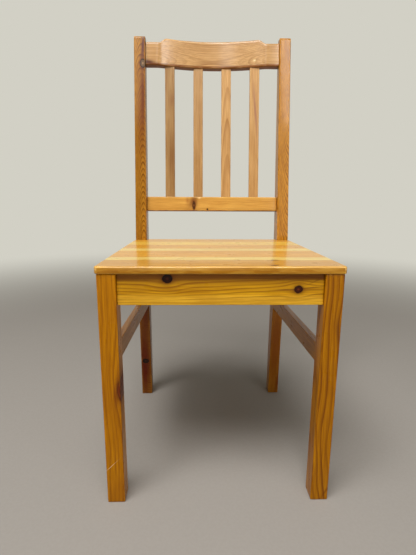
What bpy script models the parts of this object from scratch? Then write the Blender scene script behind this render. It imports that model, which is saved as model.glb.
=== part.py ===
"""Pine dining chair with a four-slat back, as separate glued, dowelled and screwed pieces.

Metres, +Z up. The chair faces -Y and its origin is on the floor, under the middle of its box.
Left and right are as seen from in front. Distances called "set back" run from the plane of the
front legs' front faces towards the rear.
"""

import math

import bmesh
import bpy
from mathutils import Matrix, Vector

# Overall sizes
SEAT_HEIGHT = 0.450
BACK_HEIGHT = 0.950
FRONT_WIDTH = 0.4136
REAR_WIDTH = 0.3930
FRONT_PLANE_Y = -0.2422
GAP = 0.0003

# Seat panel, glued from staves that run from side to side
SEAT_THICKNESS = 0.013
SEAT_SIDE_OVERHANG = 0.0032
SEAT_FRONT_OVERHANG = 0.002
SEAT_REAR = 0.391
STAVE_JOINTS = (0.095, 0.178, 0.272, 0.334)
SEAT_EDGE_RADIUS = 0.003
SEAT_UNDERSIDE_EASE = 0.67

# Front legs
LEG_WIDTH = 0.032
LEG_DEPTH = 0.034
EASE = 0.0018
EASE_SEGMENTS = 2
SHARP_ANGLE = math.radians(35)

# Rear posts: leg and back upright in one piece, as (height, set back) along each face
POST_WIDTH = 0.028
POST_FACE = 0.3735
POST_FRONT_SWEEP = ((0.0, 0.4060), (0.10, 0.4015), (0.19, 0.3955), (0.28, 0.3870), (0.34, 0.3785),
                    (0.38, POST_FACE))
POST_BACK_SWEEP = ((0.0, 0.4355), (0.10, 0.4350), (0.19, 0.4330), (0.28, 0.4285), (0.36, 0.4220),
                   (0.42, 0.4185), (0.48, 0.4205), (0.56, 0.4285))
POST_FACE_TOP = 0.455
POST_TOP_FRONT = 0.4455
POST_TOP_BACK = 0.4715
POST_FRONT_CORNER = 0.005
POST_BACK_CORNER = 0.014
POST_STEP = 0.04

# Aprons under the seat
APRON_BOTTOM = 0.382
APRON_RECESS = 0.006
FRONT_APRON_THICKNESS = 0.019
REAR_APRON_SET_BACK = 0.3785
REAR_APRON_THICKNESS = 0.0195
SIDE_APRON_THICKNESS = 0.018
TENON_LENGTH = 0.010
TENON_SHARE = 0.5
TENON_SHOULDER = 0.007

# Stretchers, one on each side; the left one was fitted a little higher
STRETCHER_BOTTOMS = {"left": 0.271, "right": 0.263}
STRETCHER_HEIGHT = 0.035
STRETCHER_THICKNESS = 0.013
STRETCHER_RECESS = 0.0045

# Back: crest rail, lower rail and slats
RAKE = math.radians(8.0)
CREST_BOTTOM = 0.882
CREST_EAR_TOP = 0.939
CREST_PEAK = 0.950
CREST_MIDDLE_TOP = 0.9485
CREST_THICKNESS = 0.019
CREST_SET_BACK = 0.4470
CREST_STEP_BASE = 0.136
CREST_STEP_PEAK = 0.116
CREST_BOW = 0.016
CREST_TOP_RADIUS = 0.005
CREST_BOTTOM_RADIUS = 0.003
LOWER_RAIL_BOTTOM = 0.5215
LOWER_RAIL_TOP = 0.5575
LOWER_RAIL_THICKNESS = 0.020
LOWER_RAIL_RECESS = 0.015
SLAT_WIDTH = 0.0243
SLAT_THICKNESS = 0.011
SLAT_PITCH = 0.0724
SLAT_COUNT = 4
SLAT_INSET = 0.009
SLAT_EASE = 0.0012

# Dowels
DOWEL_RADIUS = 0.004
DOWEL_REACH = 0.015
DOWEL_CHAMFER = 0.001
DOWEL_SIDES = 12
FRONT_DOWEL_SET_BACK = 0.0125
REAR_DOWEL_SET_BACK = 0.3905
APRON_DOWEL_SPACING = 0.028
CREST_DOWEL_SPACING = 0.028
LOWER_RAIL_DOWEL_SPACING = 0.018

# Corner blocks and their screws
BLOCK_BOTTOM = 0.402
BLOCK_LEG = 0.050
SCREW_RADIUS = 0.002
SCREW_HEAD_RADIUS = 0.004
SCREW_HEAD_DEPTH = 0.0025
SCREW_SIDES = 8
SCREW_BITE = 0.012
SEAT_SCREW_BITE = 0.008
SCREW_OFFSET = 0.030
SEAT_SCREW_OFFSET = 0.017
COUNTERBORE = 0.012

# Finish colours, as sRGB values from 0 to 255
LEG_COLOUR = (190, 125, 28)
POST_COLOUR = (186, 128, 62)
APRON_COLOUR = (202, 146, 42)
SEAT_COLOURS = ((226, 166, 96), (230, 172, 92), (234, 186, 108), (238, 190, 112), (214, 158, 100))
CREST_COLOUR = (212, 162, 102)
RAIL_COLOUR = (210, 156, 76)
SLAT_COLOURS = ((176, 122, 58), (196, 140, 80), (192, 138, 82), (206, 150, 80))
STRETCHER_COLOUR = (150, 96, 46)
HIDDEN_COLOUR = (205, 165, 105)
DOWEL_COLOUR = (214, 184, 138)
SCREW_COLOUR = (190, 190, 186)
VARNISH_ROUGHNESS = 0.28
BARE_ROUGHNESS = 0.7
STEEL_ROUGHNESS = 0.35

SEAT_BOTTOM = SEAT_HEIGHT - SEAT_THICKNESS
LEG_TOP = SEAT_BOTTOM - GAP
POST_INNER_X = REAR_WIDTH / 2 - POST_WIDTH
LEG_INNER_X = FRONT_WIDTH / 2 - LEG_WIDTH
SIDES = (("left", -1), ("right", 1))


def clear_scene():
    """Remove the objects that a new file starts with."""
    for obj in list(bpy.data.objects):
        bpy.data.objects.remove(obj, do_unlink=True)


def rearward(set_back):
    """The Y coordinate of a distance behind the front legs' front faces."""
    return FRONT_PLANE_Y + set_back


def linear(channel):
    """One sRGB channel, from 0 to 255, as a linear value."""
    value = channel / 255
    return value / 12.92 if value <= 0.04045 else ((value + 0.055) / 1.055) ** 2.4


def finish(name, colour, roughness=VARNISH_ROUGHNESS, metallic=0.0):
    """A Principled material of one piece's own."""
    material = bpy.data.materials.new(name)
    material.use_nodes = True
    shader = material.node_tree.nodes["Principled BSDF"]
    shader.inputs["Base Color"].default_value = (*map(linear, colour), 1.0)
    shader.inputs["Roughness"].default_value = roughness
    shader.inputs["Metallic"].default_value = metallic
    return material


def add_object(name, bm, frame=None):
    """Link a bmesh as a named object, placed by a frame."""
    bmesh.ops.recalc_face_normals(bm, faces=bm.faces)
    mesh = bpy.data.meshes.new(name)
    bm.to_mesh(mesh)
    bm.free()
    obj = bpy.data.objects.new(name, mesh)
    bpy.context.scene.collection.objects.link(obj)
    if frame is not None:
        obj.matrix_world = frame
    return obj


def piece(name, bm, material, frame=None):
    """A visible piece, shaded smooth across shallow angles."""
    obj = add_object(name, bm, frame)
    obj.data.materials.append(material)
    obj.data.shade_smooth()
    obj.data.set_sharp_from_angle(angle=SHARP_ANGLE)
    return obj


def ease_edges(obj, width, by_weight=False):
    """Round a piece's edges, before any joint is cut in it."""
    bevel = obj.modifiers.new("eased edges", "BEVEL")
    bevel.width = width
    bevel.segments = EASE_SEGMENTS
    bevel.limit_method = "WEIGHT" if by_weight else "ANGLE"
    return obj


def cut(obj, label, bm, frame=None):
    """Cut the solids in a bmesh out of a piece."""
    cutter = add_object(f"cut_{label}", bm, frame)
    cutter.hide_render = True
    cutter.display_type = "WIRE"
    boolean = obj.modifiers.new(label, "BOOLEAN")
    boolean.object = cutter
    boolean.operation = "DIFFERENCE"
    boolean.solver = "EXACT"


def add_prism(bm, outline, low, high, to_point):
    """Extrude a flat outline of (a, b) points from low to high; to_point(a, b, c) gives a place."""
    near = [bm.verts.new(to_point(a, b, low)) for a, b in outline]
    far = [bm.verts.new(to_point(a, b, high)) for a, b in outline]
    bm.faces.new(near)
    bm.faces.new(far)
    count = len(outline)
    for i in range(count):
        j = (i + 1) % count
        bm.faces.new((near[i], near[j], far[j], far[i]))


def plan_point(x, y, z):
    """A point of an outline drawn in plan."""
    return (x, y, z)


def side_point(y, z, x):
    """A point of an outline drawn from the side."""
    return (x, y, z)


def add_box(bm, low, high):
    """A box between two corners."""
    outline = ((low[0], low[1]), (high[0], low[1]), (high[0], high[1]), (low[0], high[1]))
    add_prism(bm, outline, low[2], high[2], plan_point)


def add_turned(bm, profile, sides):
    """A solid turned about Z: profile is (height, radius)."""
    rings = []
    for z, radius in profile:
        angles = [2 * math.pi * i / sides for i in range(sides)]
        rings.append([bm.verts.new((radius * math.cos(a), radius * math.sin(a), z)) for a in angles])
    bm.faces.new(rings[0])
    bm.faces.new(rings[-1])
    for ring, following in zip(rings, rings[1:]):
        for i in range(sides):
            j = (i + 1) % sides
            bm.faces.new((ring[i], ring[j], following[j], following[i]))


def along(start, direction):
    """The frame of a turned piece that starts at a point and runs in a direction."""
    turn = Vector(direction).to_track_quat("Z", "Y").to_matrix().to_4x4()
    return Matrix.Translation(Vector(start)) @ turn


def turned_mesh(name, profile, sides, material):
    """A mesh that identical turned pieces share."""
    bm = bmesh.new()
    add_turned(bm, profile, sides)
    bmesh.ops.recalc_face_normals(bm, faces=bm.faces)
    mesh = bpy.data.meshes.new(name)
    bm.to_mesh(mesh)
    bm.free()
    mesh.materials.append(material)
    mesh.shade_smooth()
    mesh.set_sharp_from_angle(angle=SHARP_ANGLE)
    return mesh


def place_copy(name, mesh, frame):
    """One of several identical pieces."""
    obj = bpy.data.objects.new(name, mesh)
    bpy.context.scene.collection.objects.link(obj)
    obj.matrix_world = frame
    return obj


def dowel_profile():
    """A dowel with chamfered ends, from its middle."""
    narrow = DOWEL_RADIUS - DOWEL_CHAMFER
    shoulder = DOWEL_REACH - DOWEL_CHAMFER
    return [(-DOWEL_REACH, narrow), (-shoulder, DOWEL_RADIUS),
            (shoulder, DOWEL_RADIUS), (DOWEL_REACH, narrow)]


def screw_profile(length):
    """A countersunk screw, from the face of its head to its tip."""
    return [(0, SCREW_HEAD_RADIUS), (SCREW_HEAD_DEPTH, SCREW_RADIUS), (length - SCREW_RADIUS, SCREW_RADIUS),
            (length, SCREW_RADIUS / 4)]


def screw_hole(length):
    """The hole for a countersunk screw, open on the head's side."""
    head = SCREW_HEAD_RADIUS + GAP
    shank = SCREW_RADIUS + GAP
    return [(-COUNTERBORE, head), (0, head), (SCREW_HEAD_DEPTH, shank), (length + GAP, shank)]


def hermite(stations, height):
    """A smooth curve through (height, value) stations, flat at the upper end."""
    slopes = []
    last = len(stations) - 1
    for i in range(last + 1):
        below = stations[max(i - 1, 0)]
        above = stations[min(i + 1, last)]
        slopes.append((above[1] - below[1]) / (above[0] - below[0]))
    for i in range(last):
        (low, low_value), (high, high_value) = stations[i], stations[i + 1]
        if height <= high or i == last - 1:
            span = high - low
            t = min(max((height - low) / span, 0), 1)
            return ((2 * t**3 - 3 * t**2 + 1) * low_value + (t**3 - 2 * t**2 + t) * span * slopes[i]
                    + (3 * t**2 - 2 * t**3) * high_value + (t**3 - t**2) * span * slopes[i + 1])


def fillet(before, corner, after, radius, steps):
    """Points of the arc that rounds the corner of an outline."""
    corner = Vector(corner)
    inward = (Vector(before) - corner).normalized()
    outward = (Vector(after) - corner).normalized()
    half = inward.angle(outward) / 2
    centre = corner + (inward + outward).normalized() * (radius / math.sin(half))
    start = corner + inward * (radius / math.tan(half)) - centre
    turn = math.pi - 2 * half
    if start.x * inward.y - start.y * inward.x > 0:
        turn = -turn
    points = []
    for i in range(steps + 1):
        angle = turn * i / steps
        x = start.x * math.cos(angle) - start.y * math.sin(angle)
        y = start.x * math.sin(angle) + start.y * math.cos(angle)
        points.append((centre.x + x, centre.y + y))
    return points


def post_front(height):
    """How far a rear post's front face is set back at a height."""
    if height <= POST_FRONT_SWEEP[-1][0]:
        return hermite(POST_FRONT_SWEEP, height)
    if height <= POST_FACE_TOP:
        return POST_FACE
    rise = (height - POST_FACE_TOP) / (BACK_HEIGHT - POST_FACE_TOP)
    return POST_FACE + rise * (POST_TOP_FRONT - POST_FACE)


def post_back(height):
    """How far a rear post's back face is set back at a height."""
    straight_from, set_back = POST_BACK_SWEEP[-1]
    if height <= straight_from:
        return hermite(POST_BACK_SWEEP, height)
    rise = (height - straight_from) / (BACK_HEIGHT - straight_from)
    return set_back + rise * (POST_TOP_BACK - set_back)


def heights(low, high):
    """Even steps of about POST_STEP between two heights, with both ends."""
    count = max(round((high - low) / POST_STEP), 1)
    return [low + (high - low) * i / count for i in range(count + 1)]


def post_outline():
    """A rear post from the side, as (Y, Z) points."""
    sweep_top = POST_FRONT_SWEEP[-1][0]
    front_heights = heights(0, sweep_top) + [POST_FACE_TOP]
    front = [(rearward(post_front(z)), z) for z in front_heights]
    back = [(rearward(post_back(z)), z) for z in reversed(heights(0, POST_BACK_SWEEP[-1][0]))]
    top_front = (rearward(POST_TOP_FRONT), BACK_HEIGHT)
    top_back = (rearward(POST_TOP_BACK), BACK_HEIGHT)
    front_arc = fillet(front[-1], top_front, top_back, POST_FRONT_CORNER, 3)
    back_arc = fillet(top_front, top_back, back[0], POST_BACK_CORNER, 5)
    return front + front_arc + back_arc + back


def side_rail(side, outer_front, outer_rear, thickness, rear, low, high):
    """A rail between a front leg and a rear post, with a stub tenon at each end.

    Gives the rail's solid and the two mortises that its tenons fit.
    """
    front = LEG_DEPTH + GAP
    rear -= GAP

    def across(set_back, from_outer):
        part = (set_back - front) / (rear - front)
        return side * (outer_front + (outer_rear - outer_front) * part - from_outer)

    def plan(start, end, outer, inner):
        return [(across(start, outer), rearward(start)), (across(end, outer), rearward(end)),
                (across(end, inner), rearward(end)), (across(start, inner), rearward(start))]

    cheek = thickness * (1 - TENON_SHARE) / 2
    ends = (front - TENON_LENGTH, front, rear, rear + TENON_LENGTH)
    outline = [(across(at, inset), rearward(at)) for at, inset in (
        (ends[0], cheek), (ends[1], cheek), (ends[1], 0), (ends[2], 0), (ends[2], cheek), (ends[3], cheek),
        (ends[3], thickness - cheek), (ends[2], thickness - cheek), (ends[2], thickness),
        (ends[1], thickness), (ends[1], thickness - cheek), (ends[0], thickness - cheek))]
    solid = bmesh.new()
    add_prism(solid, outline, low, high, plan_point)
    mortises = []
    for start, end in ((ends[0] - GAP, front + GAP), (rear - GAP, ends[3] + GAP)):
        mortise = bmesh.new()
        add_prism(mortise, plan(start, end, cheek - GAP, thickness - cheek + GAP), low - GAP, high + GAP,
                  plan_point)
        mortises.append(mortise)
    return solid, mortises


def tenon_shoulders(low, high, rear):
    """Solids that trim a side rail's tenons above and below, to leave shoulders there."""
    bm = bmesh.new()
    wide = FRONT_WIDTH
    ends = ((LEG_DEPTH - TENON_LENGTH - GAP, LEG_DEPTH + GAP),
            (rear - GAP, rear + TENON_LENGTH + GAP))
    for start, end in ends:
        for bottom, top in ((low - GAP, low + TENON_SHOULDER), (high - TENON_SHOULDER, high + GAP)):
            add_box(bm, (-wide, rearward(start), bottom), (wide, rearward(end), top))
    return bm


def spaced(middle, spacing):
    """Two places either side of a middle."""
    return (middle - spacing / 2, middle + spacing / 2)


def rail_frame(low, high, set_back, thickness):
    """The frame of a back rail: its origin is in the middle of the rail, leaned to the rake."""
    middle = Vector((0, rearward(set_back) + thickness / 2, (low + high) / 2))
    return Matrix.Translation(middle) @ Matrix.Rotation(-RAKE, 4, "X")


CREST_FRAME = rail_frame(CREST_BOTTOM, CREST_EAR_TOP, CREST_SET_BACK, CREST_THICKNESS)
LOWER_RAIL_SET_BACK = post_front((LOWER_RAIL_BOTTOM + LOWER_RAIL_TOP) / 2) + LOWER_RAIL_RECESS
LOWER_RAIL_FRAME = rail_frame(LOWER_RAIL_BOTTOM, LOWER_RAIL_TOP, LOWER_RAIL_SET_BACK, LOWER_RAIL_THICKNESS)


def crest_bow(x):
    """How far the crest rail bows to the rear at x: an arc between its two flat ears."""
    if abs(x) >= CREST_STEP_BASE:
        return 0.0
    radius = (CREST_STEP_BASE**2 + CREST_BOW**2) / (2 * CREST_BOW)
    return CREST_BOW - radius + math.sqrt(radius**2 - x**2)


def crest_top(x):
    """Height of the crest rail's top edge at x."""
    x = abs(x)
    if x >= CREST_STEP_BASE:
        return CREST_EAR_TOP
    if x >= CREST_STEP_PEAK:
        climb = (CREST_STEP_BASE - x) / (CREST_STEP_BASE - CREST_STEP_PEAK)
        return CREST_EAR_TOP + (CREST_PEAK - CREST_EAR_TOP) * climb**2 * (3 - 2 * climb)
    return CREST_MIDDLE_TOP + (CREST_PEAK - CREST_MIDDLE_TOP) * (x / CREST_STEP_PEAK) ** 2


def crest_stations():
    """Places along X where the crest rail's section is drawn, closest at its two steps."""
    end = POST_INNER_X - GAP
    half = [end, CREST_STEP_BASE + 0.006]
    half += [CREST_STEP_BASE - (CREST_STEP_BASE - CREST_STEP_PEAK) * i / 5 for i in range(6)]
    half += [CREST_STEP_PEAK * i / 6 for i in range(5, 0, -1)]
    return [-x for x in half] + [0.0] + half[::-1]


def crest_section(x):
    """The crest rail's rounded section at x, as points in its own frame."""
    half_height = (CREST_EAR_TOP - CREST_BOTTOM) / 2
    front = crest_bow(x) - CREST_THICKNESS / 2
    back = front + CREST_THICKNESS
    top = half_height + crest_top(x) - CREST_EAR_TOP
    corners = ((front, -half_height, CREST_BOTTOM_RADIUS), (back, -half_height, CREST_BOTTOM_RADIUS),
               (back, top, CREST_TOP_RADIUS), (front, top, CREST_TOP_RADIUS))
    points = []
    for i, (y, z, radius) in enumerate(corners):
        before = corners[i - 1]
        after = corners[(i + 1) % 4]
        points += fillet(before[:2], (y, z), after[:2], radius, 2)
    return [(x, y, z) for y, z in points]


def make_front_legs():
    """The two front legs, square in section and upright."""
    legs = {}
    for name, side in SIDES:
        bm = bmesh.new()
        inner, outer = sorted((side * LEG_INNER_X, side * FRONT_WIDTH / 2))
        add_box(bm, (inner, rearward(0), 0), (outer, rearward(LEG_DEPTH), LEG_TOP))
        leg = piece(f"front_leg_{name}", bm, finish(f"front_leg_{name}_varnish", LEG_COLOUR))
        legs[name] = ease_edges(leg, EASE)
    return legs


def make_rear_posts():
    """The two rear posts, each sawn in one piece from floor to top."""
    posts = {}
    outline = post_outline()
    for name, side in SIDES:
        bm = bmesh.new()
        add_prism(bm, outline, side * POST_INNER_X, side * REAR_WIDTH / 2, side_point)
        post = piece(f"rear_post_{name}", bm, finish(f"rear_post_{name}_varnish", POST_COLOUR))
        posts[name] = ease_edges(post, EASE)
    return posts


def make_cross_apron(name, inner_x, set_back, thickness, colour):
    """An apron from side to side, between two uprights."""
    bm = bmesh.new()
    end = inner_x - GAP
    add_box(bm, (-end, rearward(set_back), APRON_BOTTOM), (end, rearward(set_back + thickness), LEG_TOP))
    return ease_edges(piece(name, bm, finish(f"{name}_varnish", colour)), EASE / 2)


def make_side_rails(kind, spans, outer, thickness, colour, legs, posts):
    """A pair of rails from front to rear, tenoned into the legs and posts.

    spans gives each side's lower and upper edge, and outer the rail's outer face at each end.
    """
    rails = {}
    for name, side in SIDES:
        low, high = spans[name]
        rear = min(post_front(low), post_front(high))
        solid, mortises = side_rail(side, *outer, thickness, rear, low, high)
        rail = piece(f"{kind}_{name}", solid, finish(f"{kind}_{name}_varnish", colour))
        cut(rail, f"{kind}_{name}_shoulders", tenon_shoulders(low, high, rear))
        for target, mortise in zip((legs[name], posts[name]), mortises):
            trim_mortise(mortise, low, high)
            cut(target, f"{kind}_{name}_mortise_{target.name}", mortise)
        rails[name] = rail
    return rails


def trim_mortise(mortise, low, high):
    """Bring a mortise's ends in to the tenon's shoulders."""
    for vert in mortise.verts:
        if vert.co.z < (low + high) / 2:
            vert.co.z = low + TENON_SHOULDER - GAP
        else:
            vert.co.z = high - TENON_SHOULDER + GAP


def make_back_rail(name, bm, colour, frame):
    """A rail of the back, between the posts."""
    return piece(name, bm, finish(f"{name}_varnish", colour), frame)


def make_crest_rail():
    """The shaped top rail: two flat ears and a bowed middle."""
    bm = bmesh.new()
    rings = [[bm.verts.new(point) for point in crest_section(x)] for x in crest_stations()]
    bm.faces.new(rings[0])
    bm.faces.new(rings[-1])
    count = len(rings[0])
    for ring, following in zip(rings, rings[1:]):
        for i in range(count):
            j = (i + 1) % count
            bm.faces.new((ring[i], ring[j], following[j], following[i]))
    return make_back_rail("crest_rail", bm, CREST_COLOUR, CREST_FRAME)


def make_lower_rail():
    """The straight lower rail of the back."""
    bm = bmesh.new()
    end = POST_INNER_X - GAP
    half_height = (LOWER_RAIL_TOP - LOWER_RAIL_BOTTOM) / 2
    half_thickness = LOWER_RAIL_THICKNESS / 2
    add_box(bm, (-end, -half_thickness, -half_height), (end, half_thickness, half_height))
    return ease_edges(make_back_rail("lower_back_rail", bm, RAIL_COLOUR, LOWER_RAIL_FRAME), EASE)


def make_slats(crest, lower_rail):
    """The four slats, each let into the lower rail and the crest rail."""
    crest_mortises = bmesh.new()
    rail_mortises = bmesh.new()
    half_crest = (CREST_EAR_TOP - CREST_BOTTOM) / 2
    half_rail = (LOWER_RAIL_TOP - LOWER_RAIL_BOTTOM) / 2
    for i in range(SLAT_COUNT):
        x = (i - (SLAT_COUNT - 1) / 2) * SLAT_PITCH
        foot = LOWER_RAIL_FRAME @ Vector((x, 0, half_rail - SLAT_INSET))
        head = CREST_FRAME @ Vector((x, crest_bow(x), -half_crest + SLAT_INSET))
        run = head - foot
        lean = math.atan2(run.y, run.z)
        frame = Matrix.Translation((foot + head) / 2) @ Matrix.Rotation(-lean, 4, "X")
        half = Vector((SLAT_WIDTH, SLAT_THICKNESS, run.length)) / 2
        bm = bmesh.new()
        add_box(bm, -half, half)
        name = f"back_slat_{i + 1}"
        slat = piece(name, bm, finish(f"{name}_varnish", SLAT_COLOURS[i]), frame)
        ease_edges(slat, SLAT_EASE)
        room = half + Vector((GAP, GAP, GAP))
        for mortises in (crest_mortises, rail_mortises):
            hole = bmesh.new()
            add_box(hole, -room, room)
            hole.transform(frame)
            spare = bpy.data.meshes.new("mortise")
            hole.to_mesh(spare)
            hole.free()
            mortises.from_mesh(spare)
            bpy.data.meshes.remove(spare)
    cut(crest, "crest_slat_mortises", crest_mortises)
    cut(lower_rail, "lower_rail_slat_mortises", rail_mortises)


def make_dowels(label, mesh, places, rail, uprights):
    """Dowels along X, each joining a rail to the upright on its side, and the holes for them."""
    reach = DOWEL_REACH + GAP
    for i, (side_name, centre) in enumerate(places):
        frame = along(centre, (1, 0, 0))
        place_copy(f"{label}_{i + 1}", mesh, frame)
        for target in (rail, uprights[side_name]):
            hole = bmesh.new()
            add_turned(hole, [(-reach, DOWEL_RADIUS + GAP), (reach, DOWEL_RADIUS + GAP)], DOWEL_SIDES)
            cut(target, f"{label}_{i + 1}_{target.name}", hole, frame)


def apron_dowel_places(joint_x, set_back):
    """Dowel places at both ends of a cross apron, as (side's name, middle of the dowel)."""
    middle = (APRON_BOTTOM + LEG_TOP) / 2
    return [(name, (side * joint_x, rearward(set_back), z))
            for name, side in SIDES for z in spaced(middle, APRON_DOWEL_SPACING)]


def rail_dowel_places(frame, spacing):
    """Dowel places at both ends of a back rail."""
    return [(name, frame @ Vector((side * POST_INNER_X, 0, z))) for name, side in SIDES
            for z in spaced(0, spacing)]


def seat_half_width(set_back):
    """Half the seat's width at a distance behind the front plane."""
    front = FRONT_WIDTH / 2 + SEAT_SIDE_OVERHANG
    rear = REAR_WIDTH / 2 + SEAT_SIDE_OVERHANG
    return front + (rear - front) * set_back / POST_FACE


def stave_outline(start, end, last):
    """One stave in plan; the last one steps in to pass between the rear posts."""
    if not last:
        return [(-seat_half_width(start), rearward(start)), (seat_half_width(start), rearward(start)),
                (seat_half_width(end), rearward(end)), (-seat_half_width(end), rearward(end))]
    corner = POST_FACE - GAP
    tongue = POST_INNER_X - GAP
    return [(-seat_half_width(start), rearward(start)), (seat_half_width(start), rearward(start)),
            (seat_half_width(corner), rearward(corner)), (tongue, rearward(corner)),
            (tongue, rearward(end)), (-tongue, rearward(end)),
            (-tongue, rearward(corner)), (-seat_half_width(corner), rearward(corner))]


def weigh_outer_edges(bm, start, end, last):
    """Mark the seat's own outer edges for rounding, and leave the glued edges sharp."""
    weights = bm.edges.layers.float.new("bevel_weight_edge")
    glued = [] if start < 0 else [rearward(start)]
    if not last:
        glued.append(rearward(end))
    for edge in bm.edges:
        low, high = sorted(vert.co.z for vert in edge.verts)
        level = high - low < GAP
        joined = any(all(abs(vert.co.y - y) < GAP / 2 for vert in edge.verts) for y in glued)
        if level and not joined:
            edge[weights] = 1.0 if low > SEAT_BOTTOM + GAP else SEAT_UNDERSIDE_EASE


def make_seat():
    """The seat's staves, from the front edge to the tongue between the posts."""
    starts = [-SEAT_FRONT_OVERHANG] + [joint + GAP / 2 for joint in STAVE_JOINTS]
    ends = [joint - GAP / 2 for joint in STAVE_JOINTS] + [SEAT_REAR]
    staves = []
    for i, (start, end) in enumerate(zip(starts, ends)):
        last = i == len(starts) - 1
        bm = bmesh.new()
        add_prism(bm, stave_outline(start, end, last), SEAT_BOTTOM, SEAT_HEIGHT, plan_point)
        weigh_outer_edges(bm, start, end, last)
        name = f"seat_board_{i + 1}"
        stave = piece(name, bm, finish(f"{name}_varnish", SEAT_COLOURS[i]))
        staves.append(ease_edges(stave, SEAT_EDGE_RADIUS, by_weight=True))
    return staves


def apron_inner_x(set_back):
    """The inner face of a side apron, as a distance from the middle of the chair."""
    front = FRONT_WIDTH / 2 - APRON_RECESS
    rear = REAR_WIDTH / 2 - APRON_RECESS
    part = (set_back - LEG_DEPTH) / (POST_FACE - LEG_DEPTH)
    return front + (rear - front) * part - SIDE_APRON_THICKNESS


def block_plan(at_front):
    """A corner block in plan for the right side, notched round the upright."""
    if at_front:
        face = APRON_RECESS + FRONT_APRON_THICKNESS + GAP
        upright = LEG_DEPTH + GAP
        inward = 1
        notch_x = LEG_INNER_X - GAP
    else:
        face = REAR_APRON_SET_BACK - GAP
        upright = POST_FACE - GAP
        inward = -1
        notch_x = POST_INNER_X - GAP
    far = upright + inward * BLOCK_LEG
    return [(notch_x, face), (notch_x, upright), (apron_inner_x(upright) - GAP, upright),
            (apron_inner_x(far) - GAP, far), (notch_x - BLOCK_LEG, face)], face, inward


def make_corner_blocks(front_apron, rear_apron, side_aprons, staves):
    """Four corner blocks, each screwed to two aprons and up into the seat."""
    block_middle = (BLOCK_BOTTOM + LEG_TOP) / 2
    depth = BLOCK_LEG - SCREW_OFFSET - COUNTERBORE / 2
    block_reach = depth + SCREW_BITE
    seat_reach = SEAT_BOTTOM + SEAT_SCREW_BITE - BLOCK_BOTTOM
    steel = finish("screw_steel", SCREW_COLOUR, STEEL_ROUGHNESS, 1.0)
    block_screw = turned_mesh("block_screw", screw_profile(block_reach), SCREW_SIDES, steel)
    seat_screw = turned_mesh("seat_screw", screw_profile(seat_reach), SCREW_SIDES, steel)
    for place, at_front, cross_apron, stave in (("front", True, front_apron, staves[0]),
                                                ("rear", False, rear_apron, staves[-1])):
        for name, side in SIDES:
            plan, face, inward = block_plan(at_front)
            outline = [(side * x, rearward(set_back)) for x, set_back in plan]
            bm = bmesh.new()
            add_prism(bm, outline, BLOCK_BOTTOM, LEG_TOP, plan_point)
            label = f"corner_block_{place}_{name}"
            block = piece(label, bm, finish(f"{label}_pine", HIDDEN_COLOUR, BARE_ROUGHNESS))

            cross_x = plan[0][0] - SCREW_OFFSET
            side_set_back = plan[1][1] + inward * SCREW_OFFSET
            cross_start = (side * cross_x, rearward(face + inward * depth), block_middle)
            side_x = apron_inner_x(side_set_back) - depth
            side_start = (side * side_x, rearward(side_set_back), block_middle)
            seat_x = plan[0][0] - SEAT_SCREW_OFFSET
            seat_start = (side * seat_x, rearward(face + inward * SEAT_SCREW_OFFSET), BLOCK_BOTTOM)
            corner = f"{place}_{name}"
            screws = ((f"block_screw_{corner}_1", block_screw, cross_start, (0, -inward, 0), block_reach,
                       cross_apron),
                      (f"block_screw_{corner}_2", block_screw, side_start, (side, 0, 0), block_reach,
                       side_aprons[name]),
                      (f"seat_screw_{corner}", seat_screw, seat_start, (0, 0, 1), seat_reach, stave))
            for screw_name, mesh, start, direction, reach, target in screws:
                frame = along(start, direction)
                place_copy(screw_name, mesh, frame)
                for body in (block, target):
                    hole = bmesh.new()
                    add_turned(hole, screw_hole(reach), SCREW_SIDES)
                    cut(body, f"{screw_name}_{body.name}", hole, frame)


def make_chair():
    """Every piece of the chair, joints included."""
    legs = make_front_legs()
    posts = make_rear_posts()
    front_apron = make_cross_apron("front_apron", LEG_INNER_X, APRON_RECESS,
                                   FRONT_APRON_THICKNESS, APRON_COLOUR)
    rear_apron = make_cross_apron("rear_apron", POST_INNER_X, REAR_APRON_SET_BACK,
                                  REAR_APRON_THICKNESS, HIDDEN_COLOUR)
    apron_outer = (FRONT_WIDTH / 2 - APRON_RECESS, REAR_WIDTH / 2 - APRON_RECESS)
    apron_spans = {name: (APRON_BOTTOM, LEG_TOP) for name, _ in SIDES}
    side_aprons = make_side_rails("side_apron", apron_spans, apron_outer,
                                  SIDE_APRON_THICKNESS, APRON_COLOUR, legs, posts)
    stretcher_outer = (LEG_INNER_X + STRETCHER_RECESS + STRETCHER_THICKNESS,
                       POST_INNER_X + STRETCHER_THICKNESS)
    stretcher_spans = {name: (low, low + STRETCHER_HEIGHT) for name, low in STRETCHER_BOTTOMS.items()}
    make_side_rails("side_stretcher", stretcher_spans, stretcher_outer,
                    STRETCHER_THICKNESS, STRETCHER_COLOUR, legs, posts)

    crest = make_crest_rail()
    lower_rail = make_lower_rail()
    make_slats(crest, lower_rail)

    beech = finish("dowel_beech", DOWEL_COLOUR, BARE_ROUGHNESS)
    dowel = turned_mesh("dowel", dowel_profile(), DOWEL_SIDES, beech)
    front_places = apron_dowel_places(LEG_INNER_X, FRONT_DOWEL_SET_BACK)
    rear_places = apron_dowel_places(POST_INNER_X, REAR_DOWEL_SET_BACK)
    make_dowels("front_apron_dowel", dowel, front_places, front_apron, legs)
    make_dowels("rear_apron_dowel", dowel, rear_places, rear_apron, posts)
    make_dowels("crest_dowel", dowel, rail_dowel_places(CREST_FRAME, CREST_DOWEL_SPACING), crest, posts)
    make_dowels("lower_rail_dowel", dowel, rail_dowel_places(LOWER_RAIL_FRAME, LOWER_RAIL_DOWEL_SPACING),
                lower_rail, posts)

    staves = make_seat()
    make_corner_blocks(front_apron, rear_apron, side_aprons, staves)


clear_scene()
make_chair()
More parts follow.
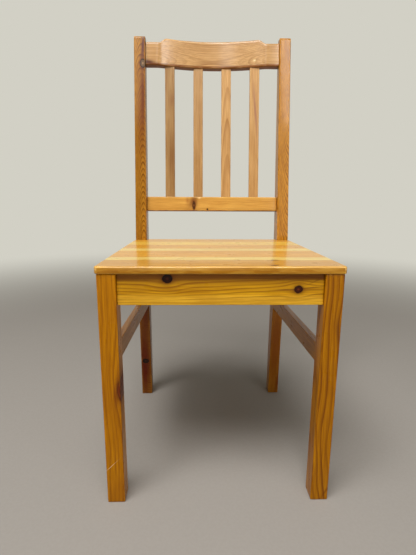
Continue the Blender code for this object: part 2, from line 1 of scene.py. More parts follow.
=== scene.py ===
"""The looks of a varnished pine dining chair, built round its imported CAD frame.

Metres, +Z up, the chair faces -Y. Every visible board is a fine mesh that replaces its CAD node and
keeps that node's box. Grain, rings and knots are described in each board's own millimetres.
"""
import math
from collections import namedtuple

import bmesh
import bpy
from mathutils import Matrix, Vector, noise


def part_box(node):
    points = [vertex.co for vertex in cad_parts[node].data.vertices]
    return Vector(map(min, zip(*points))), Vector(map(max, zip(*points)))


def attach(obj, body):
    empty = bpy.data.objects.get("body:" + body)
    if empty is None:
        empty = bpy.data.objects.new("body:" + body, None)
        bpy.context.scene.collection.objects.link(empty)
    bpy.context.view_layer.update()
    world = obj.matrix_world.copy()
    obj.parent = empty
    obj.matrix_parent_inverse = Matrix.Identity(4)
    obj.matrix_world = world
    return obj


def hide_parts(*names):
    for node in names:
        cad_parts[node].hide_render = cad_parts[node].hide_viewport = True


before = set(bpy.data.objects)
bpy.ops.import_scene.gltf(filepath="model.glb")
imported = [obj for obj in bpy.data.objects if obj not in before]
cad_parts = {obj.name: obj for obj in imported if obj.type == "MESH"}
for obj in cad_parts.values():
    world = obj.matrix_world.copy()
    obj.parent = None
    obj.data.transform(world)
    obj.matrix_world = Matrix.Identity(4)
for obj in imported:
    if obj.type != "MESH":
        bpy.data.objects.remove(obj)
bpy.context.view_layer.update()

SIDES = ("left", -1), ("right", 1)

# The camera, measured from the middle of the front legs' front faces at floor height
CAMERA_SIDEWAYS = -0.0426
CAMERA_IN_FRONT = 0.6267
CAMERA_HEIGHT = 0.5666
CAMERA_PITCH = math.radians(12.07)
CAMERA_YAW = math.radians(1.295)
CAMERA_ROLL = math.radians(0.27)
CAMERA_LENS = 25.17
CAMERA_SHIFT = (0.0068, -0.0014)

# Shapes that the boxes alone don't give, as in the CAD
EASE = 0.0018
POST_FRONT_SWEEP = ((0.0, 0.4060), (0.10, 0.4015), (0.19, 0.3955), (0.28, 0.3870), (0.34, 0.3785),
                    (0.38, 0.3735))
POST_BACK_SWEEP = ((0.0, 0.4355), (0.10, 0.4350), (0.19, 0.4330), (0.28, 0.4285), (0.36, 0.4220),
                   (0.42, 0.4185), (0.48, 0.4205), (0.56, 0.4285))
POST_FACE_TOP = 0.455
POST_TOP_FRONT = 0.4455
POST_TOP_BACK = 0.4715
POST_FRONT_CORNER = 0.005
POST_BACK_CORNER = 0.014
TENON_LENGTH = 0.010
TENON_SHARE = 0.5
TENON_SHOULDER = 0.007
TENON_EASE = 0.0002
SIDE_APRON_THICKNESS = 0.018
STRETCHER_THICKNESS = 0.013
RAKE = math.radians(8.0)
CREST_THICKNESS = 0.019
CREST_EAR_HEIGHT = 0.057
CREST_PEAK_RISE = 0.011
CREST_MIDDLE_RISE = 0.0095
CREST_STEP_BASE = 0.136
CREST_STEP_PEAK = 0.116
CREST_BOW = 0.016
CREST_BLEND = 0.0012
CREST_TOP_RADIUS = 0.005
CREST_BOTTOM_RADIUS = 0.003
CREST_END_EASE = 0.0003
LOWER_RAIL_THICKNESS = 0.020
LOWER_RAIL_HEIGHT = 0.036
SLAT_THICKNESS = 0.011
SLAT_EASE = 0.0012
SEAT_EDGE_RADIUS = 0.003
SEAT_UNDERSIDE_RADIUS = 0.002
SEAT_CORNER_RADIUS = 0.006
SEAT_CLEARANCE = 0.0003
STAVES = 5
SLATS = 4

# How finely the boards are meshed, and how uneven their sanded edges are
ARC_STEPS = 5
SIDE_STEPS = 4
STATION_STEP = 0.006
CREST_STATION_STEP = 0.003
POST_TOP_STATIONS = 12
SMALLEST_RADIUS = 0.00005
SHOULDER = 0.0012
UNEVEN_EDGE = 0.3
UNEVEN_LENGTH = 0.035
SHARP_ANGLE = math.radians(40)
BOX_TOLERANCE = 0.0006


# --- Boards as fine meshes ---

def stations(low, high, ease, step=STATION_STEP):
    """Places along a board as (distance, inset): close together where an end is rounded."""
    arc = [(ease * (1 - math.cos(a)), ease * (1 - math.sin(a)))
           for a in (math.pi / 2 * i / ARC_STEPS for i in range(ARC_STEPS + 1))]
    count = max(round((high - low - 2 * ease) / step), 1)
    middle = [(low + ease + (high - low - 2 * ease) * i / count, 0.0) for i in range(1, count)]
    return [(low + d, inset) for d, inset in arc] + middle + [(high - d, inset) for d, inset in arc[::-1]]


def corner_radius(radius, along, corner, seed):
    """A corner's radius at a place along a board: hand-sanded edges aren't even."""
    wave = noise.noise(Vector((along / UNEVEN_LENGTH, corner * 7.3, seed)))
    return radius * (1 + UNEVEN_EDGE * wave)


def section(low, high, radii, inset=0.0):
    """A rounded rectangle between two (v, w) corners, as (v, w, wear) points; wear is 1 on its corners.

    radii go round from the low corner. Every section has the same number of points.
    """
    low_v, low_w = low[0] + inset, low[1] + inset
    high_v, high_w = high[0] - inset, high[1] - inset
    corners = ((low_v, low_w, 180), (high_v, low_w, 270), (high_v, high_w, 0), (low_v, high_w, 90))
    points = []
    for (v, w, start), radius in zip(corners, radii):
        radius = max(radius - inset, SMALLEST_RADIUS)
        centre_v = v + radius if v == low_v else v - radius
        centre_w = w + radius if w == low_w else w - radius
        for i in range(ARC_STEPS + 1):
            angle = math.radians(start + 90 * i / ARC_STEPS)
            points.append((centre_v + radius * math.cos(angle), centre_w + radius * math.sin(angle), 1.0))
    return with_sides(points)


def with_sides(arcs):
    """Fill in the straight sides between the corner arcs of a section."""
    size = ARC_STEPS + 1
    full = []
    for start in range(0, len(arcs), size):
        arc = arcs[start:start + size]
        following = arcs[(start + size) % len(arcs)]
        full += arc
        (v, w, _), (next_v, next_w, _) = arc[-1], following
        length = math.hypot(next_v - v, next_w - w)
        near = min(SHOULDER / max(length, 1e-6), 0.2)
        for i in range(SIDE_STEPS + 1):
            share = near + (1 - 2 * near) * i / SIDE_STEPS
            full.append((v + (next_v - v) * share, w + (next_w - w) * share, 0.0))
    return full


def loft(name, rings, place):
    """A closed mesh through rings of (u, v, w, wear) points; place(u, v, w) gives a point's position."""
    bm = bmesh.new()
    wear = bm.verts.layers.float.new("wear")
    made = []
    for ring in rings:
        verts = []
        for u, v, w, worn in ring:
            vert = bm.verts.new(place(u, v, w))
            vert[wear] = worn
            verts.append(vert)
        made.append(verts)
    count = len(made[0])
    bm.faces.new(made[0])
    bm.faces.new(made[-1])
    for ring, following in zip(made, made[1:]):
        for i in range(count):
            j = (i + 1) % count
            bm.faces.new((ring[i], ring[j], following[j], following[i]))
    bmesh.ops.recalc_face_normals(bm, faces=bm.faces)
    mesh = bpy.data.meshes.new(name)
    bm.to_mesh(mesh)
    bm.free()
    mesh.shade_smooth()
    mesh.set_sharp_from_angle(angle=SHARP_ANGLE)
    obj = bpy.data.objects.new(name, mesh)
    bpy.context.scene.collection.objects.link(obj)
    return obj


def bar(name, low, high, ease, outline, place, seed=0.0):
    """A board from low to high along its grain; outline(u) gives its section's corners and radii."""
    rings = []
    for u, inset in stations(low, high, ease):
        corner_low, corner_high, radii = outline(u)
        radii = [corner_radius(radius, u, i, seed) for i, radius in enumerate(radii)]
        rings.append([(u, v, w, max(worn, min(inset / ease * 2, 1.0)))
                      for v, w, worn in section(corner_low, corner_high, radii, inset)])
    return loft(name, rings, place)


def along_x(u, v, w):
    """Grain from side to side, v up and w to the rear."""
    return Vector((u, w, v))


def along_z(u, v, w):
    """Grain upwards, v to the right and w to the rear."""
    return Vector((v, w, u))


def along_y(u, v, w):
    """Grain from front to rear, v up and w to the right."""
    return Vector((w, u, v))


def fit_to(obj, node):
    """Put a board's box in the middle of its CAD node's, and stop if the two differ in size."""
    low = Vector(map(min, zip(*(vert.co for vert in obj.data.vertices))))
    high = Vector(map(max, zip(*(vert.co for vert in obj.data.vertices))))
    cad_low, cad_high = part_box(node)
    obj.data.transform(Matrix.Translation((cad_low + cad_high - low - high) / 2))
    off = max(abs(a - b) for a, b in zip(high - low, cad_high - cad_low))
    if off > BOX_TOLERANCE:
        raise ValueError(f"{obj.name} is {off * 1000:.2f} mm from the size of {node}")
    return obj


def carve(obj, *mates):
    """Cut the sockets for the pieces that go into a board."""
    for mate in mates:
        boolean = obj.modifiers.new("socket", "BOOLEAN")
        boolean.object = mate
        boolean.operation = "DIFFERENCE"
        boolean.solver = "EXACT"
    bpy.context.view_layer.update()
    cut = bpy.data.meshes.new_from_object(obj.evaluated_get(bpy.context.evaluated_depsgraph_get()))
    obj.modifiers.clear()
    obj.data = cut


def hermite(points, height):
    """A smooth curve through (height, value) points, as in the CAD."""
    last = len(points) - 1
    slopes = []
    for i in range(last + 1):
        below = points[max(i - 1, 0)]
        above = points[min(i + 1, last)]
        slopes.append((above[1] - below[1]) / (above[0] - below[0]))
    i = next((i for i in range(last) if height <= points[i + 1][0]), last - 1)
    (low, low_value), (high, high_value) = points[i], points[i + 1]
    span = high - low
    t = min(max((height - low) / span, 0), 1)
    return ((2 * t**3 - 3 * t**2 + 1) * low_value + (t**3 - 2 * t**2 + t) * span * slopes[i]
            + (3 * t**2 - 2 * t**3) * high_value + (t**3 - t**2) * span * slopes[i + 1])


FRONT_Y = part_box("front_leg_left")[0].y
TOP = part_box("rear_post_left")[1].z


def post_front(z):
    """The Y of a rear post's front face at a height, with its rounded top corner."""
    sweep_top, face = POST_FRONT_SWEEP[-1]
    if z <= sweep_top:
        return FRONT_Y + hermite(POST_FRONT_SWEEP, z)
    rise = max(z - POST_FACE_TOP, 0) / (TOP - POST_FACE_TOP)
    return FRONT_Y + face + rise * (POST_TOP_FRONT - face) + rounded_off(z, POST_FRONT_CORNER)


def post_back(z):
    """The Y of a rear post's back face at a height, with its rounded top corner."""
    straight_from, start = POST_BACK_SWEEP[-1]
    if z <= straight_from:
        return FRONT_Y + hermite(POST_BACK_SWEEP, z)
    rise = (z - straight_from) / (TOP - straight_from)
    return FRONT_Y + start + rise * (POST_TOP_BACK - start) - rounded_off(z, POST_BACK_CORNER)


def rounded_off(z, radius):
    """How far a post's top corner has curved in at a height."""
    above = max(z - (TOP - radius), 0)
    return radius - math.sqrt(max(radius**2 - above**2, 0))


def post_stations(low, high):
    """Places up a post as (height, inset), close together where its top corners curve."""
    curve_from = high - POST_BACK_CORNER
    curve_length = POST_BACK_CORNER - EASE
    places = stations(low, high, EASE)
    curve = [(curve_from + curve_length * (i / POST_TOP_STATIONS) ** 0.6, 0.0)
             for i in range(1, POST_TOP_STATIONS)]
    straight = [place for place in places if place[0] < curve_from]
    end = [place for place in places if place[0] >= high - EASE]
    return straight + curve + end


def make_posts():
    """The rear posts: swept in side view, with grain that runs straight through."""
    for number, (name, _) in enumerate(SIDES):
        low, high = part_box(f"rear_post_{name}")
        rings = []
        for z, inset in post_stations(low.z, high.z):
            level = min(z, high.z - EASE / 2)
            radii = [corner_radius(EASE, z, i, 3.0 + number) for i in range(4)]
            points = section((low.x, post_front(level)), (high.x, post_back(level)), radii, inset)
            rings.append([(z, v, w, max(worn, min(inset / EASE * 2, 1.0))) for v, w, worn in points])
        yield fit_to(loft(f"post_{name}", rings, along_z), f"rear_post_{name}")


def make_legs():
    """The square front legs."""
    for number, (name, _) in enumerate(SIDES):
        low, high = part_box(f"front_leg_{name}")
        yield bar(f"leg_{name}", low.z, high.z, EASE,
                  lambda u: ((low.x, low.y), (high.x, high.y), [EASE] * 4), along_z, seed=number + 1.0)


def make_cross_apron(name, node, seed):
    """An apron from side to side."""
    low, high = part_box(node)
    return bar(name, low.x, high.x, EASE / 2,
               lambda u: ((low.z, low.y), (high.z, high.y), [EASE / 2] * 4), along_x, seed=seed)


def make_side_rail(name, node, side, thickness, seed):
    """A rail from front to rear that narrows the chair, with a shouldered tenon at each end."""
    low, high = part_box(node)
    start, end = low.y + TENON_LENGTH, high.y - TENON_LENGTH
    outer, inner = (high.x, low.x + thickness) if side > 0 else (low.x, high.x - thickness)
    ease = EASE / 2
    cheek = thickness * (1 - TENON_SHARE) / 2

    def span(y):
        x = outer + (inner - outer) * (y - start) / (end - start)
        return (x - thickness, x) if side > 0 else (x, x + thickness)

    def ring(y, trim_side, trim_edge, radius, inset, worn=None):
        left, right = span(y)
        points = section((low.z + trim_edge, left + trim_side), (high.z - trim_edge, right - trim_side),
                         [radius] * 4, inset)
        return [(y, v, w, wear if worn is None else worn) for v, w, wear in points]

    def tenon(y):
        return ring(y, cheek, TENON_SHOULDER, TENON_EASE, 0, 0.0)
    rings = [tenon(low.y), tenon(start)]
    for y, inset in stations(start, end, ease):
        radius = corner_radius(ease, y, 0, seed)
        rings.append(ring(y, 0, 0, radius, inset))
    rings += [tenon(end), tenon(high.y)]
    return loft(name, rings, along_y)


def crest_bow(x):
    """How far the crest rail bows to the rear at x."""
    radius = (CREST_STEP_BASE**2 + CREST_BOW**2) / (2 * CREST_BOW)
    bow = CREST_BOW - radius + math.sqrt(radius**2 - x**2)
    return (bow + math.sqrt(bow**2 + CREST_BLEND**2)) / 2


def crest_rise(x):
    """How far the crest rail's top edge stands above its ears at x."""
    x = abs(x)
    if x >= CREST_STEP_BASE:
        return 0.0
    if x >= CREST_STEP_PEAK:
        climb = (CREST_STEP_BASE - x) / (CREST_STEP_BASE - CREST_STEP_PEAK)
        return CREST_PEAK_RISE * climb**2 * (3 - 2 * climb)
    return CREST_MIDDLE_RISE + (CREST_PEAK_RISE - CREST_MIDDLE_RISE) * (x / CREST_STEP_PEAK) ** 2


def make_crest():
    """The crest rail: flat ears, a smooth step up and a bowed middle, leaned back to the rake."""
    low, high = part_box("crest_rail")
    radii = [CREST_BOTTOM_RADIUS, CREST_TOP_RADIUS, CREST_TOP_RADIUS, CREST_BOTTOM_RADIUS]
    rings = []
    for x, inset in stations(low.x, high.x, CREST_END_EASE, step=CREST_STATION_STEP):
        bow = crest_bow(x)
        top = CREST_EAR_HEIGHT + crest_rise(x)
        uneven = [corner_radius(radius, x, i, 9.0) for i, radius in enumerate(radii)]
        rings.append([(x, v, w, worn) for v, w, worn in section(
            (0, bow), (top, bow + CREST_THICKNESS), uneven, inset)])
    crest = loft("crest", rings, along_x)
    crest.data.transform(Matrix.Rotation(-RAKE, 4, "X"))
    return fit_to(crest, "crest_rail")


def make_lower_rail():
    """The straight rail below the slats."""
    low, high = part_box("lower_back_rail")
    rail = bar("lower_rail", low.x, high.x, EASE,
               lambda u: ((0, 0), (LOWER_RAIL_HEIGHT, LOWER_RAIL_THICKNESS), [EASE] * 4), along_x, seed=12.0)
    rail.data.transform(Matrix.Rotation(-RAKE, 4, "X"))
    return fit_to(rail, "lower_back_rail")


def slat_lean(node):
    """A slat's lean and length, from its box and its thickness."""
    low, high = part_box(node)
    size = high - low
    lean = (size.y - SLAT_THICKNESS) / size.z
    for _ in range(8):
        depth = size.y - SLAT_THICKNESS * math.cos(lean)
        lean = math.atan2(depth, size.z - SLAT_THICKNESS * math.sin(lean))
    return lean, (size.z - SLAT_THICKNESS * math.sin(lean)) / math.cos(lean)


def make_slats():
    """The flat back slats, let into both rails."""
    for number in range(1, SLATS + 1):
        node = f"back_slat_{number}"
        low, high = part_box(node)
        lean, length = slat_lean(node)
        slat = bar(f"slat_{number}", 0, length, SLAT_EASE,
                   lambda u: ((low.x, 0), (high.x, SLAT_THICKNESS), [SLAT_EASE] * 4), along_z,
                   seed=20.0 + number)
        slat.data.transform(Matrix.Rotation(-lean, 4, "X"))
        yield fit_to(slat, node)


def inset_outline(outline, insets):
    """A plan outline with each edge moved inwards by its own distance."""
    count = len(outline)
    lines = []
    for i in range(count):
        start, end = Vector(outline[i]), Vector(outline[(i + 1) % count])
        run = (end - start).normalized()
        lines.append((start + Vector((-run.y, run.x)) * insets[i], run))
    points = []
    for i in range(count):
        (here, run), (before, before_run) = lines[i], lines[i - 1]
        turn = before_run.x * run.y - before_run.y * run.x
        if abs(turn) < 1e-6:
            points.append(here)
            continue
        gap = here - before
        points.append(before + before_run * ((gap.x * run.y - gap.y * run.x) / turn))
    return points


def rounded_corner(before, corner, after):
    """The arc that takes the place of one of the seat's front corners in plan."""
    corner = Vector(corner)
    back, on = (Vector(before) - corner).normalized(), (Vector(after) - corner).normalized()
    half_angle = back.angle(on) / 2
    centre = corner + (back + on).normalized() * (SEAT_CORNER_RADIUS / math.sin(half_angle))
    start = corner + back * (SEAT_CORNER_RADIUS / math.tan(half_angle)) - centre
    sweep = math.pi - 2 * half_angle
    points = [centre + Matrix.Rotation(sweep * i / ARC_STEPS, 2) @ start for i in range(ARC_STEPS + 1)]
    return [tuple(point) for point in points]


def seat_half_width(y):
    """Half the seat's width at y: it narrows evenly to the rear."""
    first_low, first_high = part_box("seat_board_1")
    last_low, last_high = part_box(f"seat_board_{STAVES}")
    taper = (first_high.x - last_high.x) / (last_low.y - first_low.y)
    return first_high.x - taper * (y - first_low.y)


def stave_ends(number):
    """Where a stave starts and ends from front to rear: joints are halfway between two CAD boards."""
    low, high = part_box(f"seat_board_{number}")
    start, end = low.y, high.y
    if number > 1:
        start = (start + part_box(f"seat_board_{number - 1}")[1].y) / 2
    if number < STAVES:
        end = (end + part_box(f"seat_board_{number + 1}")[0].y) / 2
    return start, end


def stave_plan(number):
    """A seat stave's outline in plan, anticlockwise from its front left, and which edges are rounded."""
    half = seat_half_width
    start, end = stave_ends(number)
    if number == STAVES:
        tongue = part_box("rear_post_right")[0].x - SEAT_CLEARANCE
        corner = POST_FRONT_SWEEP[-1][1] + FRONT_Y - SEAT_CLEARANCE
        plan = [(-half(start), start), (half(start), start), (half(corner), corner), (tongue, corner),
                (tongue, end), (-tongue, end), (-tongue, corner), (-half(corner), corner)]
        return plan, [False] + [True] * 7
    plan = [(-half(start), start), (half(start), start), (half(end), end), (-half(end), end)]
    if number > 1:
        return plan, [False, True, False, True]
    left = rounded_corner(plan[3], plan[0], plan[1])
    right = rounded_corner(plan[0], plan[1], plan[2])
    return [*left, *right, *plan[2:]], [True] * (len(left) + len(right)) + [False, True]


def quarter_round(radius):
    """A rounded edge as (height, inset) from its outer tangent, both from 0 to the radius."""
    angles = [math.pi / 2 * i / ARC_STEPS for i in range(ARC_STEPS + 1)]
    return [(radius * (1 - math.cos(angle)), radius * (1 - math.sin(angle))) for angle in angles]


def make_stave(number):
    """One of the seat's staves, rounded only where it is at the seat's own edge."""
    low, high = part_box(f"seat_board_{number}")
    plan, rounded = stave_plan(number)
    levels = [(low.z, SEAT_UNDERSIDE_RADIUS + SHOULDER, 0.0)]
    levels += [(low.z + rise, inset, 1.0) for rise, inset in quarter_round(SEAT_UNDERSIDE_RADIUS)]
    levels += [(high.z - fall, inset, 1.0) for fall, inset in quarter_round(SEAT_EDGE_RADIUS)[::-1]]
    levels += [(high.z, SEAT_EDGE_RADIUS + SHOULDER, 0.0)]
    rings = []
    for z, inset, worn in levels:
        points = inset_outline(plan, [inset if edge else 0.0 for edge in rounded])
        rings.append([(point.x, point.y, z, worn) for point in points])
    return loft(f"seat_stave_{number}", rings, lambda u, v, w: Vector((u, v, w)))


# --- Numbers that vary over a surface ---

class Field:
    """A number at each point of a surface: a socket of a node tree, with Python's operators."""

    def __init__(self, tree, socket):
        self.tree = tree
        self.socket = socket

    def math(self, operation, *others):
        """The Math node of an operation on this field and others."""
        node = self.tree.nodes.new("ShaderNodeMath")
        node.operation = operation
        for slot, value in zip(node.inputs, (self, *others)):
            connect(self.tree, value, slot)
        return Field(self.tree, node.outputs[0])

    def __add__(self, other):
        return self.math("ADD", other)

    def __sub__(self, other):
        return self.math("SUBTRACT", other)

    def __mul__(self, other):
        return self.math("MULTIPLY", other)

    def power(self, exponent):
        """This field raised to a power."""
        return self.math("POWER", exponent)

    def fade(self, start, end):
        """0 at start, 1 at end, and smooth between them."""
        node = self.tree.nodes.new("ShaderNodeMapRange")
        node.interpolation_type = "SMOOTHSTEP"
        connect(self.tree, self, node.inputs["Value"])
        swapped = start > end
        node.inputs["From Min"].default_value = end if swapped else start
        node.inputs["From Max"].default_value = start if swapped else end
        node.inputs["To Min"].default_value = 1.0 if swapped else 0.0
        node.inputs["To Max"].default_value = 0.0 if swapped else 1.0
        return Field(self.tree, node.outputs["Result"])

    def hump(self):
        """1 where this field is 0, and falling away on both sides."""
        return (self * self * -1.0).math("EXPONENT")


def connect(tree, value, slot):
    """Link a field or a socket to a node's input, or set the input to a number."""
    if isinstance(value, Field):
        tree.links.new(value.socket, slot)
    elif isinstance(value, bpy.types.NodeSocket):
        tree.links.new(value, slot)
    else:
        slot.default_value = value


def srgb(colour):
    """An sRGB colour from 0 to 255 as linear RGBA."""
    channels = [c / 255 for c in colour]
    return (*(c / 12.92 if c <= 0.04045 else ((c + 0.055) / 1.055) ** 2.4 for c in channels), 1.0)


def mix(tree, share, first, second, blend="MIX"):
    """A colour between two, each a socket or an sRGB colour."""
    node = tree.nodes.new("ShaderNodeMix")
    node.data_type = "RGBA"
    node.blend_type = blend
    connect(tree, share, node.inputs[0])
    for slot, value in zip(node.inputs[6:8], (first, second)):
        connect(tree, srgb(value) if isinstance(value, tuple) else value, slot)
    return node.outputs[2]


class Board:
    """A board's own coordinates in millimetres: u along the grain, v across its face, w through it."""

    def __init__(self, tree, origin, along, across, seed):
        self.tree = tree
        self.seed = seed
        place = tree.nodes.new("ShaderNodeTexCoord").outputs["Object"]
        shifted = self.vector("SUBTRACT", place, origin)
        through = Vector(along).cross(Vector(across))
        self.u, self.v, self.w = (
            Field(tree, self.vector("DOT_PRODUCT", shifted, Vector(axis) * 1000, output=1))
            for axis in (along, across, through))
        self.place = self.joined(self.u, self.v, self.w)

    def vector(self, operation, first, second, output=0):
        """The output of a Vector Math node."""
        node = self.tree.nodes.new("ShaderNodeVectorMath")
        node.operation = operation
        connect(self.tree, first, node.inputs[0])
        connect(self.tree, second, node.inputs[1])
        return node.outputs[output]

    def joined(self, x, y, z):
        """A vector made of three fields."""
        node = self.tree.nodes.new("ShaderNodeCombineXYZ")
        for slot, value in zip(node.inputs, (x, y, z)):
            connect(self.tree, value, slot)
        return node.outputs[0]

    def noise(self, lengths, detail=2.0, place=None, roughness=0.5):
        """Noise from 0 to 1 with the given wavelengths along u, v and w, in millimetres."""
        self.seed += 1.7
        stretched = self.vector("MULTIPLY", place or self.place, Vector([1 / length for length in lengths]))
        moved = self.vector("ADD", stretched, Vector((self.seed, self.seed * 2.3, -self.seed)))
        node = self.tree.nodes.new("ShaderNodeTexNoise")
        node.inputs["Scale"].default_value = 1.0
        node.inputs["Detail"].default_value = detail
        node.inputs["Roughness"].default_value = roughness
        connect(self.tree, moved, node.inputs["Vector"])
        return Field(self.tree, node.outputs["Fac"])


# --- Pine ---

# A knot goes right through its board along w. Its rings and rim follow its own outline, the grain
# parts round it by pull within reach radii, and dark resin spreads past its rim by halo.
Knot = namedtuple("Knot", "u v length width core rim halo pull reach")
# A streak is a line of another colour: it starts at (u, v) and climbs by slope.
Streak = namedtuple("Streak", "u v length width slope colour strength")
# A band of another colour between two distances across the face: sapwood, painted shade along a face or
# edge, or a painted highlight along an edge; on a seat board's upper half alone if it is marked as such.
Band = namedtuple("Band", "start end soft colour upper", defaults=(False,))
# pith is the heart's place (v, w) at u = 0, and lean how (v, w) of the heart drift along u.
Pine = namedtuple("Pine", "early late spacing pith lean wander contrast knots streaks bands seed",
                  defaults=((), (), (), 0.0))

KNOT_GRAIN = 1.35
KNOT_RINGS = 16.0
RING_HASH = 12.9898, 43.7
LATE_WOOD = 0.25, 0.93
VARNISH_IOR = 1.5
SURFACE_DEPTH = 0.00012
DARK_KNOT = (52, 16, 3)
RED_KNOT = (92, 34, 8)
RIM = (14, 6, 3)
RESIN = (104, 48, 10)
FIBRE_SHADE = (196, 176, 150)
ZINC = (196, 198, 200)
DULL_ZINC = (150, 148, 140)
WHITE = (255, 255, 255)


def part_grain(board, knots):
    """Where the grain lines are read from, once they have parted round the knots."""
    v = board.v
    for knot in knots:
        du = (board.u - knot.u) * (2 / (knot.length * knot.reach * KNOT_GRAIN))
        dv = (board.v - knot.v) * (2 / (knot.width * knot.reach))
        near = (du * du + dv * dv) * -1.0
        v = v - (board.v - knot.v) * near.math("EXPONENT") * knot.pull
    return v


def ring_shade(board, look, v):
    """How dark the late wood is at each point, from 0 to 1: it darkens slowly and stops at once."""
    wander = board.noise((160, 60, 60), detail=1.0) - 0.5
    ripple = board.noise((45, 9, 9), detail=2.0) - 0.5
    pith_v = board.u * look.lean[0] + look.pith[0]
    pith_w = board.u * look.lean[1] + look.pith[1]
    dv = v - pith_v + wander * look.wander
    dw = board.w - pith_w + ripple * (look.wander * 0.06)
    radius = (dv * dv + dw * dw).math("SQRT")
    rings = radius * (1 / look.spacing)
    uneven = board.noise((9000, look.spacing * 2.5, 1), detail=0.0,
                         place=board.joined(board.u, radius, board.u * 0.0)) - 0.5
    rings = rings + uneven * 0.9
    within = rings.math("FRACT")
    begins, darkest = LATE_WOOD
    growing = within.fade(begins, darkest)
    stopped = within.fade(1.0, darkest)
    number = rings.math("FLOOR")
    share = (number * RING_HASH[0]).math("SINE") * RING_HASH[1]
    strength = share.math("FRACT").math("ABSOLUTE") * 0.75 + 0.25
    return growing.power(1.6) * stopped * strength


def fibres(board):
    """Fine streaks along the grain, from 0 to 1."""
    fine = board.noise((55, 1.3, 1.3), detail=3.0, roughness=0.65)
    broad = board.noise((170, 5.0, 5.0), detail=2.0)
    return fine, broad


def knot_distance(board, knot, rough):
    """Distance from a knot's middle, 1 at its rim."""
    du = (board.u - knot.u) * (2 / knot.length)
    dv = (board.v - knot.v) * (2 / knot.width)
    return (du * du + dv * dv).math("SQRT") * (rough * 0.36 + 0.82)


def paint_knots(board, look, colour):
    """The colour with the knots in it, and how deep inside a knot each point is."""
    inside = None
    for knot in look.knots:
        rough = board.noise((max(knot.length / 3, 1.5), max(knot.width / 3, 1.5), 20), detail=2.0)
        distance = knot_distance(board, knot, rough)
        halo = ((distance - 1.0).math("MAXIMUM", 0.0) * (-2.2)).math("EXPONENT") * knot.halo
        colour = mix(board.tree, halo, colour, RESIN)
        rings = ((distance * KNOT_RINGS).math("SINE") * 0.5 + 0.5) * 0.55
        heart = mix(board.tree, rings, knot.core, tuple(c * 0.4 for c in knot.core))
        pale = tuple(min(c * 1.9 + 12, 255) for c in knot.core)
        heart = mix(board.tree, distance.fade(0.45, 0.0) * 0.5, heart, pale)
        core = distance.fade(1.06, 0.9)
        colour = mix(board.tree, core, colour, heart)
        rim = ((distance - 0.98) * 7.0).hump() * knot.rim
        colour = mix(board.tree, rim, colour, RIM)
        inside = core if inside is None else inside.math("MAXIMUM", core)
    return colour, inside


def paint_streaks(board, look, colour, fine):
    """The colour with its stains and scratches."""
    for streak in look.streaks:
        along = (board.u - streak.u) * (1 / streak.length)
        off = board.v - streak.v - (board.u - streak.u) * streak.slope
        across = off * (1 / streak.width)
        share = (along * along + across * across) * -1.0
        share = share.math("EXPONENT") * (fine * 0.9 + 0.55) * streak.strength
        colour = mix(board.tree, share.math("MINIMUM", 1.0), colour, streak.colour)
    return colour


def new_material(name):
    """A material with an empty tree but for its Principled shader."""
    material = bpy.data.materials.new(name)
    material.use_nodes = True
    tree = material.node_tree
    return material, tree, tree.nodes["Principled BSDF"]


def bump(tree, shader, height, distance):
    """Raise the surface by a field."""
    node = tree.nodes.new("ShaderNodeBump")
    node.inputs["Strength"].default_value = 1.0
    node.inputs["Distance"].default_value = distance
    connect(tree, height, node.inputs["Height"])
    tree.links.new(node.outputs[0], shader.inputs["Normal"])


def paint_bands(board, look, colour, shade):
    """The colour with its bands of other wood, painted shade and painted highlight, in which the rings show
    faintly.
    """
    for band in look.bands:
        slanted = board.v + (board.noise((140, 30, 30), detail=1.0) - 0.5) * (band.soft * 2.5)
        share = slanted.fade(band.start - band.soft, band.start + band.soft)
        share = share * slanted.fade(band.end + band.soft, band.end - band.soft)
        if band.upper:
            share = share * board.w.fade(-1.0, 1.0)
        inner = mix(board.tree, shade * 0.4, band.colour, look.late)
        colour = mix(board.tree, share, colour, inner)
    return colour


def worn_edges(board):
    """Where the board's edges are rubbed, from 0 to 1, off and on along them."""
    attribute = board.tree.nodes.new("ShaderNodeAttribute")
    attribute.attribute_name = "wear"
    edge = Field(board.tree, attribute.outputs["Fac"])
    rubbed = board.noise((30, 6, 6), detail=3.0)
    return edge * rubbed.fade(0.42, 0.68)


def varnish(shader, coat, haze):
    """The constant settings of the gloss."""
    shader.inputs["Specular IOR Level"].default_value = 0.12
    shader.inputs["Coat Weight"].default_value = coat
    shader.inputs["Coat Roughness"].default_value = haze
    shader.inputs["Coat IOR"].default_value = VARNISH_IOR


